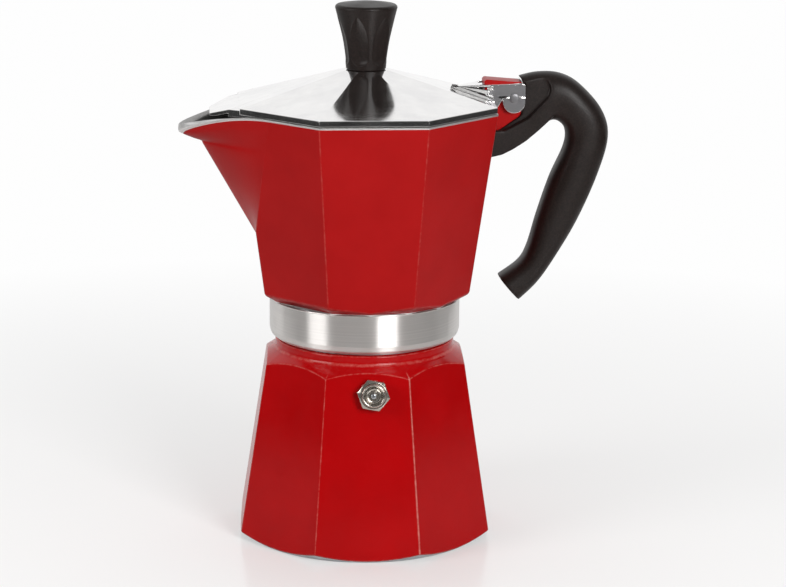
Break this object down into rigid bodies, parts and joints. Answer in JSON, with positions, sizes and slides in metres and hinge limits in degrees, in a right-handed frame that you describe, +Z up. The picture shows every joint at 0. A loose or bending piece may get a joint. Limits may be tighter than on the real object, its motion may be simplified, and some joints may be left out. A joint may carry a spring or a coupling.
{
  "type": "moka pot",
  "caption": "Octagonal red stovetop moka pot with screw-on collector, hinged polished lid, black handle and safety valve.",
  "frame": {"origin": "centre of the foot, on the surface the pot stands on", "axes": "+Z up along the pot's axis, +X towards the handle, -Y towards the safety valve"},
  "size_m": [0.1728, 0.1022, 0.2173],
  "materials": {
    "red_paint": "gloss red paint",
    "bare_aluminium": "satin",
    "polished_aluminium": "polished",
    "black_plastic": "satin",
    "brass": "satin",
    "steel": "satin",
    "rubber": "matt"
  },
  "bodies": {
    "boiler": {"boiler": "red_paint", "valve_washer": "rubber", "valve_body": "brass", "valve_cap": "steel", "valve_spring": "steel"},
    "valve_piston": {"valve_piston": "steel", "piston_seal": "rubber"},
    "funnel": {"funnel_basket": "bare_aluminium", "funnel_stem": "bare_aluminium", "funnel_strainer": "steel"},
    "seal": {"gasket": "rubber", "filter_plate": "steel"},
    "collector": {"collector": "red_paint", "handle": "black_plastic", "hinge_pin": "steel"},
    "lid": {"lid": "polished_aluminium", "knob": "black_plastic", "knob_insert": "brass", "knob_washer": "steel", "knob_screw": "steel"}
  },
  "joints": [
    {"name": "top_turn", "type": "hinge", "parent": "seal", "child": "collector", "pos_m": [0, 0, 0.0822], "axis": [0, 0, 1], "range_deg": [0, 1080]},
    {"name": "top_lift", "type": "slide", "parent": "boiler", "child": "seal", "axis": [0, 0, 1], "range_m": [0, 0.0075]},
    {"name": "lid_hinge", "type": "hinge", "parent": "collector", "child": "lid", "pos_m": [0.0588, 0, 0.1793], "axis": [0, 1, 0], "range_deg": [0, 105]},
    {"name": "funnel_turn", "type": "hinge", "parent": "boiler", "child": "funnel", "pos_m": [0, 0, 0.0935], "axis": [0, 0, 1], "continuous": true},
    {"name": "valve_lift", "type": "slide", "parent": "boiler", "child": "valve_piston", "axis": [-0.0311, -0.9883, 0.1495], "range_m": [0, 0.0015], "stiffness_N_per_m": 800, "springref_m": -0.001, "deforming": ["valve_spring"]}
  ],
  "couplings": [
    {"joint": "top_lift", "follows": "top_turn", "m_per_rad": 0.00039789}
  ]
}
